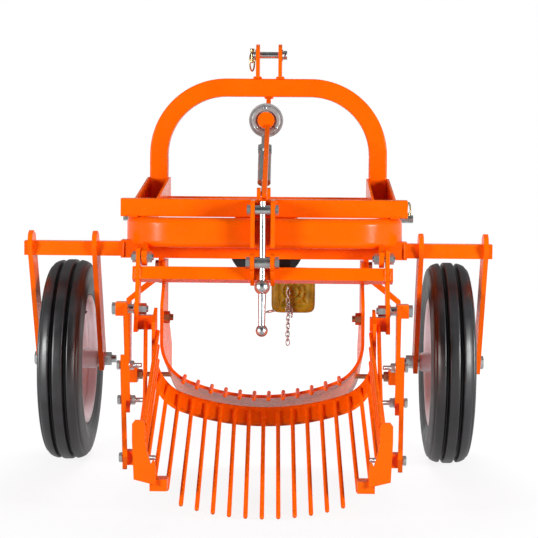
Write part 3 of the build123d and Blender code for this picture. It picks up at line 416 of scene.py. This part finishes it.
for side in ("left", "right"):
    way = -1 if side == "left" else 1
    low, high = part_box(f"rim_{side}")
    centre = (np.array(low) + np.array(high)) / 2
    line = eased(RIM_PROFILE + RIM_PROFILE[:1], 4)[:-1] * (way, 1)
    rim = turned(f"pressed_rim_{side}", line, centre, 96, True)
    rim.data.materials.append(pale)
    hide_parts(f"rim_{side}")
    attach(rim, f"wheel_{side}")
    # A rubber valve stands on the inner side of the disc, under the drop centre.
    stem_at = centre + np.array([way * -0.012, 0.0, 0.136])
    t = np.linspace(0, 1, 9)
    stem = carried(f"tyre_valve_{side}", stem_at + t[:, None] * np.array([way * -0.026, 0.0, -0.016]),
                   np.array([5, 5.6, 4.8, 4.2, 4, 4, 3.6, 4.2, 4.0]) / 1000, 12)
    stem.data.materials.append(rubber)
    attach(stem, f"wheel_{side}")


# Zinc-plated hardware.
# Bolts, pins, the jack, the strut and hitch pins: machined steel under bright blue-white zinc,
# with a fine grain and cloudy patches about 14 mm wide.
def plated(name, code, cloud, rough):
    """Plated metal: cloud is the colour of its hazy patches."""
    material, tree = fresh(name)
    spot = add(tree, "ShaderNodeTexCoord").outputs["Object"]
    haze = noise(tree, spot, 70.0, 5.0)
    tint = blended(tree, remap(tree, haze, 0.35, 0.7, 0.0, 0.8), linear(code), linear(cloud))
    # The plating's grain is 0.3 mm, drawn at 0.9 mm to show.
    grain = noise(tree, spot, 1100.0, 1.0)
    surfaced(tree, {"Base Color": tint, "Metallic": 1.0, "Normal": bumped(tree, grain, 0.00006, 0.4),
                    "Roughness": remap(tree, haze, 0.3, 0.75, rough, rough + 0.2)})
    return material


zinc = plated("bright_zinc_plate", "D6DCDD", "A7AFB2", 0.24)
gilt = plated("pale_gold_zinc", "D8C79A", "A08A55", 0.26)
copper_tint = plated("copper_tinted_zinc", "C28A66", "8A4F38", 0.32)
coat_nodes(zinc, "axle_bolt_left", "axle_bolt_right", "arm_bolts", "pivot_bolts", "jack_screw",
           "jack_top_barrel", "jack_eye_barrel", "lower_hitch_pins", "ring_strut")
coat_nodes(copper_tint, "share_bolts")


def axes_of(direction):
    """Three unit vectors: the direction itself and two square to it."""
    d = np.asarray(direction, float)
    d = d / np.linalg.norm(d)
    first = np.cross(d, (0.0, 0.0, 1.0) if abs(d[2]) < 0.9 else (1.0, 0.0, 0.0))
    first = first / np.linalg.norm(first)
    return d, first, np.cross(d, first)


def spun(direction, along, radius, angle, origin):
    """Points at a distance along an axis and a radius out from it, both in mm, at each angle."""
    d, e, f = axes_of(direction)
    return (along[..., None] * d + radius[..., None] * (np.cos(angle)[..., None] * e
            + np.sin(angle)[..., None] * f)) / 1000 + origin


def nut(name, place, direction, across, height, hole, body, material, slot):
    """A hexagon nut: at each angle the radius is the hexagon's side, cut at both faces by a chamfer
    cone of about 30 degrees, with a bore inside."""
    angle = np.linspace(0, 2 * np.pi, 60, endpoint=False)[:, None]
    flat = across / 2 / np.cos((angle + np.pi / 6) % (np.pi / 3) - np.pi / 6)
    level = np.array([0, 0, 0.10, 0.30, 0.70, 0.90, 1.0, 1.0, 0.92, 0.08])[None] * height
    limit = np.array([hole + 1, across / 2 - 0.6, across, across, across, across, across / 2 - 0.6,
                      hole + 1, hole, hole])[None]
    cone = np.array([0, 0.0, 1.6, 4, 4, 1.6, 0.0, 0, 0, 0])[None] + across / 2 - 0.4
    radius = np.minimum(np.minimum(flat, limit), cone)
    grid = spun(direction, level, radius, angle, at(*place))
    piece = skin(name, grid, (True, True), smooth=False)
    piece.data.materials.append(material)
    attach(piece, body)


def thread(name, start, end, radius, pitch, body, material, slot):
    """A threaded length: the radius falls and rises once a pitch along it, and the crest moves one
    pitch on for each turn, which makes it a helix. Both ends are closed."""
    a, b = at(*start), at(*end)
    run = np.linalg.norm(b - a) * 1000
    angle = np.linspace(0, 2 * np.pi, 20, endpoint=False)[:, None]
    t = np.linspace(0, run, int(run / pitch * 5) + 2)[None]
    wave = np.abs(((t / pitch - angle / (2 * np.pi)) % 1.0) - 0.5) * 2
    r = radius - 0.12 * pitch - 0.42 * pitch * wave
    r = r * np.minimum(1, (np.minimum(t, run - t) + 1.5) / 2.6)
    r = np.concatenate([0 * r[:, :1], r, 0 * r[:, :1]], 1)
    t = np.concatenate([t[:, :1], t, t[:, -1:]], 1)
    piece = skin(name, spun(b - a, t, r, angle, a), (True, False))
    piece.data.materials.append(material)
    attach(piece, body)


def washer(name, place, direction, outer, hole, thick, body, material):
    """A washer: a flat ring with a rounded rim, turned about its own axis."""
    angle = np.linspace(0, 2 * np.pi, 40, endpoint=False)[:, None]
    level = np.array([0, 0, 0.3, 0.7, 1, 1])[None] * thick
    radius = np.array([hole, outer - 0.4, outer, outer, outer - 0.4, hole])[None] + 0 * angle
    grid = spun(direction, level + 0 * angle, radius, angle, at(*place))
    piece = skin(name, grid, (True, True), smooth=False)
    piece.data.materials.append(material)
    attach(piece, body)


# Arm, foot and axle bolts.
# M12 bolts hold a strip along each arm and the bracket at its foot. Washers and threads stand at
# the arm heads, the axles and the top link ears.
ARM_HEAD = np.array([334.0, -268.0, 420.0])
ARM_FOOT = np.array([291.0, -664.0, 134.0])
REAR_SHIFT = 13.0
FOOT_Y, FOOT_Z = -657.0, 133.0
WHEEL_X = {"left": -504.0, "right": 473.5}
AXLE_Z = 260
TOP_PIN_Y, TOP_PIN_Z = 300, 1073
# From an arm's middle to its outer face, and the thickness that a strip bolt holds.
ARM_FACE, STRIP_GRIP = 15.5, 21
# M12: width across flats, height and hole radius of a head and a nut; thread radius and pitch.
HEAD, NUT, THREAD = (19, 8, 2), (19, 10, 6), (6, 1.75)
for word, side in (("left", -1), ("right", 1)):
    out = np.array([side, 0.0, 0.0])
    head = ARM_HEAD * (side, 1, 1)
    foot = ARM_FOOT * (side, 1, 1) + (REAR_SHIFT, 0, 0)
    for label, along in (("upper", 0.405), ("lower", 0.638)):
        outer = head + (foot - head) * along + ARM_FACE * out
        inner = outer - STRIP_GRIP * out
        nut(f"strip_head_{label}_{word}", outer, out, *HEAD, "sieve", zinc, "zinc")
        washer(f"strip_washer_{label}_{word}", inner, -out, 12, 6, 2, "sieve", zinc)
        nut(f"strip_nut_{label}_{word}", inner - 2 * out, -out, *NUT, "sieve", zinc, "zinc")
        thread(f"strip_thread_{label}_{word}", inner - 10 * out, inner - 30 * out, *THREAD,
               "sieve", zinc, "zinc")
    foot_face = np.array([foot[0] + ARM_FACE * side, FOOT_Y, FOOT_Z])
    bracket = np.array([side * 272 + REAR_SHIFT, FOOT_Y, FOOT_Z])
    nut(f"foot_head_{word}", foot_face, out, *HEAD, "sieve", zinc, "zinc")
    nut(f"foot_nut_{word}", bracket, -out, *NUT, "sieve", zinc, "zinc")
    thread(f"foot_thread_{word}", bracket, bracket - 38 * out, *THREAD, "sieve", zinc, "zinc")
    washer(f"pivot_washer_{word}", (side * 310.4, ARM_HEAD[1], ARM_HEAD[2]), out, 15, 8.4, 2.2,
           "sieve", zinc)
    inner_x = WHEEL_X[word] - side * 89
    thread(f"axle_thread_{word}", (inner_x, 0, AXLE_Z), (inner_x - side * 27, 0, AXLE_Z), 10.3, 2.5,
           "frame", zinc, "zinc")
    washer(f"ear_washer_{word}", (side * 36.3, TOP_PIN_Y, TOP_PIN_Z), out, 16, 9.7, 2.4,
           "frame", zinc)

# Jack screw.
# A rolled trapezoidal thread of 4 mm pitch runs between the two barrels.
thread("jack_thread", (0, -272.6, 655), (0, -281.2, 552), 8.7, 4.0, "jack", zinc, "zinc")

# Top link pin and linch pins.
# A 19 mm plated pin with a stop head is held by a sprung linch pin, and each lower pin has its own.
pin_run = np.linspace(-44, 50, 40)
shape_r = np.where(pin_run < 38, 9.3, 12.5)
pin_line = np.array([at(x, TOP_PIN_Y, TOP_PIN_Z) for x in pin_run])
link_pin = carried("top_link_pin", pin_line, shape_r / 1000, 32)
link_pin.data.materials.append(zinc)
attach(link_pin, "frame")


def linch(name, place, lift, reach, body):
    """A linch pin: an oval ring beside the pin's end and a short stem through it. Lift is the ring's
    middle above the pin and reach the stem's length, in mm."""
    angle = np.linspace(0, 2 * np.pi, 48, endpoint=False)
    middle = at(*place)
    ring = middle + np.stack([0.006 * np.cos(angle), 0.016 * np.cos(angle),
                              0.026 * np.sin(angle) + lift / 1000], -1)
    hoop_ring = carried(f"{name}_ring", ring, 0.0023, 10, True)
    t = np.linspace(0, 1, 12)
    stem = middle + np.stack([0 * t, 0 * t, 0.018 - t * reach / 1000], -1)
    shank = carried(f"{name}_stem", stem, np.where(t < 0.25, 0.0062, 0.0042), 14)
    for piece in (hoop_ring, shank):
        piece.data.materials.append(gilt)
        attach(piece, body)


LOWER_PIN_X, LOWER_PIN_Y = 393, 300
LOWER_PIN_Z = (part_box("lower_hitch_pins")[0][2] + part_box("lower_hitch_pins")[1][2]) * 500
linch("top_linch_pin", (-47.5, TOP_PIN_Y, TOP_PIN_Z), -18, 40, "frame")
linch("lower_linch_pin_left", (-LOWER_PIN_X, LOWER_PIN_Y, LOWER_PIN_Z), 20, 28, "frame")
linch("lower_linch_pin_right", (LOWER_PIN_X, LOWER_PIN_Y, LOWER_PIN_Z), 20, 28, "frame")

# Cast ring.
# A grey sand-cast ring with a raised rim on its rear face and three small hexagon screws.
grey, tree = fresh("sand_cast_grey_iron")
spot = add(tree, "ShaderNodeTexCoord").outputs["Object"]
# Sand grain is 1 mm, drawn at 1.5 mm to show.
sand = noise(tree, spot, 650.0, 4.0)
blotch = noise(tree, spot, 60.0, 3.0)
tone = blended(tree, remap(tree, blotch, 0.3, 0.7), linear("B4B1B0"), linear("8D8988"))
surfaced(tree, {"Base Color": tone, "Metallic": 0.55, "Normal": bumped(tree, sand, 0.0003, 0.5),
                "Roughness": remap(tree, blotch, 0.3, 0.7, 0.42, 0.6)})
coat_nodes(grey, "cast_ring")
ring_low, ring_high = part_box("cast_ring")
ring_mid = (np.array(ring_low) + np.array(ring_high)) / 2
RING_REAR = (ring_low[1] - AXLE_Y) * 1000
RING_Z = ring_mid[2] * 1000
RING_X = (ring_mid[0] - MID_X) * 1000
# A raised rim on the rear face, out from the ring's middle.
angle = np.linspace(0, 2 * np.pi, 72, endpoint=False)[:, None]
step = np.array([(0.2, 25), (-3.2, 26), (-4.6, 28), (-4.6, 37), (-3.2, 39.5), (0.2, 40.5)])
grid = np.stack([step[:, 1] * np.cos(angle), step[:, 0] + 0 * angle, step[:, 1] * np.sin(angle)], -1) / 1000
flange = skin("ring_flange", grid + at(RING_X, RING_REAR, RING_Z), (True, True))
flange.data.materials.append(grey)
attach(flange, "frame")
SCREW_CIRCLE = 33
for i, degrees in enumerate((95, 215, 325)):
    a = math.radians(degrees)
    place = (RING_X + SCREW_CIRCLE * math.cos(a), RING_REAR - 4.4, RING_Z + SCREW_CIRCLE * math.sin(a))
    nut(f"ring_screw_{i}", place, (0, -1, 0), 7.5, 2.6, 1.6, "frame", zinc, "zinc")

# Input shield and the shaft.
# The shield is a moulded black polyethylene bell; the shaft is bare turned steel under oil.
moulded, tree = fresh("moulded_black_polyethylene")
spot = add(tree, "ShaderNodeTexCoord").outputs["Object"]
# The mould's leather grain is 2 mm.
grain = add(tree, "ShaderNodeTexVoronoi", {"Vector": spot, "Scale": 500.0}).outputs[0]
scuff = noise(tree, spot, 30.0, 5.0)
tone = blended(tree, remap(tree, scuff, 0.4, 0.8, 0.0, 0.5), linear("08080A"), linear("1A191B"))
surfaced(tree, {"Base Color": tone, "Roughness": remap(tree, scuff, 0.3, 0.8, 0.42, 0.6),
                "Normal": bumped(tree, grain, 0.0002, 0.4)})
coat_nodes(moulded, "input_shield", "tube_plugs", "guard_strap")
oiled = plated("oiled_turned_steel", "8D8E8C", "5C5B58", 0.22)
coat_nodes(oiled, "input_shaft")

# Parked shaft guard.
# A blow-moulded yellow polyethylene bell with stiffening ribs, and grime in patches about 26 mm
# wide.
guard, tree = fresh("blow_moulded_yellow_polyethylene")
spot = add(tree, "ShaderNodeTexCoord").outputs["Object"]
grime = noise(tree, spot, 38.0, 6.0, 0.62)
tone = blended(tree, remap(tree, grime, 0.36, 0.72), linear("B8A40C"), linear("7E6E08"))
fine = noise(tree, spot, 420.0, 2.0)
surfaced(tree, {"Base Color": tone, "Roughness": remap(tree, grime, 0.3, 0.75, 0.3, 0.62),
                "Normal": bumped(tree, fine, 0.0002, 0.4)})
guard_low, guard_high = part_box("shaft_guard")
guard_mid = (np.array(guard_low) + np.array(guard_high)) / 2
rear_y = guard_low[1]
# Distance from the middle and depth behind the rear face: rings on the face, then a waisted wall.
BELL = [
    (0.1, 3.2), (11, 3.2), (12.5, 0.2), (15.5, 0.2), (17, 3.4), (24, 3.6), (25.5, 0.8), (29, 0.8),
    (30.5, 3.6), (37, 3.4), (39, 0.6), (44, 0.2), (50, 1.4), (54.6, 4.6), (57.0, 10), (57.2, 26),
    (55.2, 29), (55.2, 33), (57.2, 36), (57.2, 54), (55.2, 57), (55.2, 61), (57.2, 64), (57.2, 79.6),
    (53.4, 79.6), (53.2, 20), (50, 9), (44, 6.4), (24, 8), (0.1, 8),
]
bell = eased(BELL, 3)
angle = np.linspace(0, 2 * np.pi, 120, endpoint=False)[:, None]
# The outline goes from a circle at the face's middle to a square with rounded corners at the wall.
squareness = np.clip((bell[:, 0] - 26) / 26, 0, 1) * 5.0 + 2.0
corner = (np.abs(np.cos(angle)) ** squareness + np.abs(np.sin(angle)) ** squareness) ** (-1 / squareness)
# Eight ribs stand on the rear face between the rings.
between = (bell[:, 0] > 16) * (bell[:, 0] < 43) * (bell[:, 1] > 2) * (bell[:, 1] < 5)
rib = (np.cos(8 * angle) > 0.82) * between
r = bell[:, 0] * corner / 1000
grid = np.stack([guard_mid[0] + r * np.cos(angle), rear_y + (bell[:, 1] - 2.4 * rib) / 1000,
                 guard_mid[2] + r * np.sin(angle)], -1)
shell = skin("yellow_guard_bell", grid, (True, True))
shell.data.materials.append(guard)
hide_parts("shaft_guard")
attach(shell, "frame")

# Guard chain.
# Welded zinc-plated links of 2.6 mm wire hang from the middle of the parked guard's rear face,
# with a short loose strand beside them and a tapered clip at the guard's lower left corner.
WIRE_M = 0.0013  # the wire's radius
chain = []
for i in range(14):
    chain.append((60.5 + 0.5 * math.sin(i), -8.0, 449.0 - 10.8 * i, i % 2))
for i in range(3):
    chain.append((66.0 + 2.4 * i, -8.0, 401.0 - 9.6 * i, i % 2))
for i, (x, y, z, twist) in enumerate(chain):
    t = np.linspace(0, 2 * np.pi, 24, endpoint=False)
    wide = 4.4 * np.cos(t)
    tall = 3.4 * np.sin(t) + 4.6 * np.tanh(3 * np.sin(t))
    offset = np.stack([wide, 0 * t, tall], -1) if twist else np.stack([0.35 * wide, wide, tall], -1)
    link = carried(f"chain_link_{i}", at(x, y, z) + offset / 1000, WIRE_M, 8, True)
    link.data.materials.append(zinc)
    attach(link, "frame")

t = np.linspace(0, 1, 14)
clip = carried("guard_clip", at(1, -5, 386) + t[:, None] * np.array([0.026, 0.012, 0.004]),
               (1.2 + 2.6 * np.sin(np.pi * np.minimum(1, t * 1.4) * 0.7)) / 1000, 12)
clip.data.materials.append(zinc)
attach(clip, "frame")
